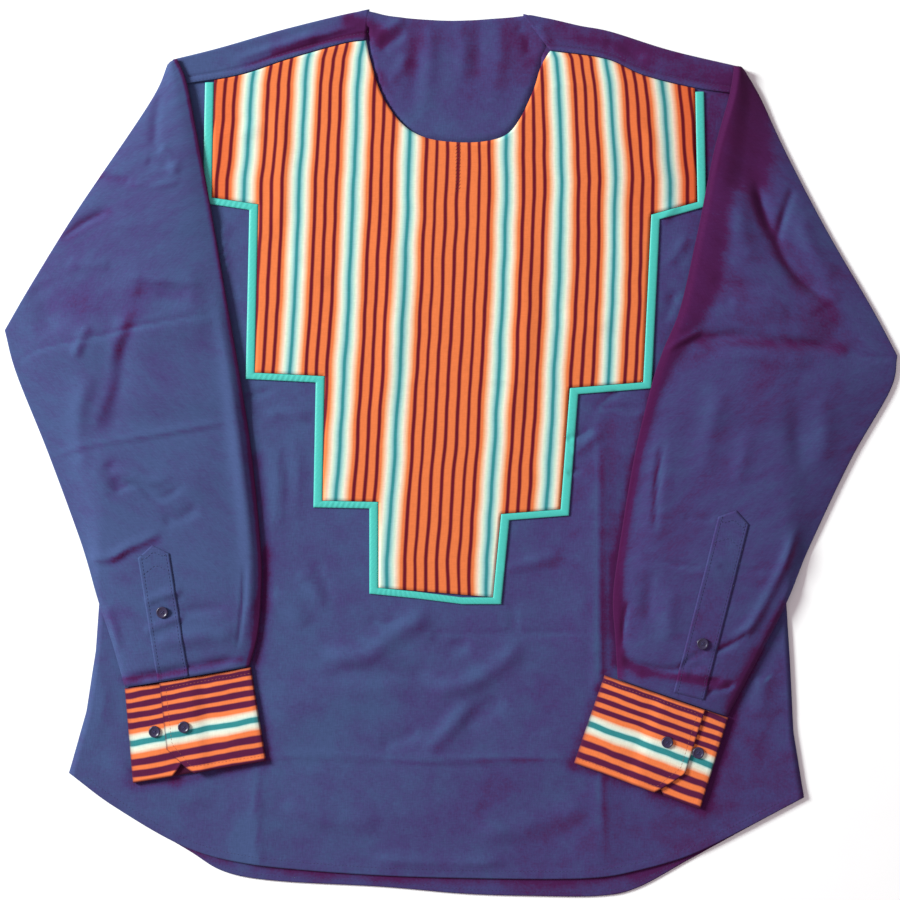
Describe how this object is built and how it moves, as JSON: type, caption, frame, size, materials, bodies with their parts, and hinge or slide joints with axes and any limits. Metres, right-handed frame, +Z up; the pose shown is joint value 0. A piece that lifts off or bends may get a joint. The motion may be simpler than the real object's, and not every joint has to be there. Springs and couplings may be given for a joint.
{
  "type": "long-sleeve shirt laid flat",
  "caption": "Round-neck pullover shirt lying on its back, sleeves folded down over the front, with a stepped striped bib, piping and striped buttoned cuffs.",
  "frame": {"origin": "on the table, under the middle of the laid garment's bounding box", "axes": "+Z up from the table out of the shirt's front; +Y along the body from hem to neck; +X towards the wearer's left sleeve"},
  "size_m": [0.7668, 0.762, 0.0154],
  "materials": {
    "navy_cloth": "plain weave, matte",
    "striped_cloth": "woven stripes in orange, dark, cream and turquoise, matte",
    "turquoise_cloth": "soft sheen",
    "button": "semi-gloss"
  },
  "bodies": {
    "root": {"back": "navy_cloth", "yoke": "navy_cloth", "front": "navy_cloth", "striped_bib": "striped_cloth", "bib_piping": "turquoise_cloth", "sleeve_right": "navy_cloth", "sleeve_left": "navy_cloth", "cuff_right": "striped_cloth", "cuff_left": "striped_cloth", "placket_right": "navy_cloth", "placket_left": "navy_cloth", "placket_button_right": "button", "placket_button_left": "button", "cuff_button_right": "button", "cuff_button_left": "button", "cuff_spare_button_right": "button", "cuff_spare_button_left": "button"}
  },
  "joints": []
}
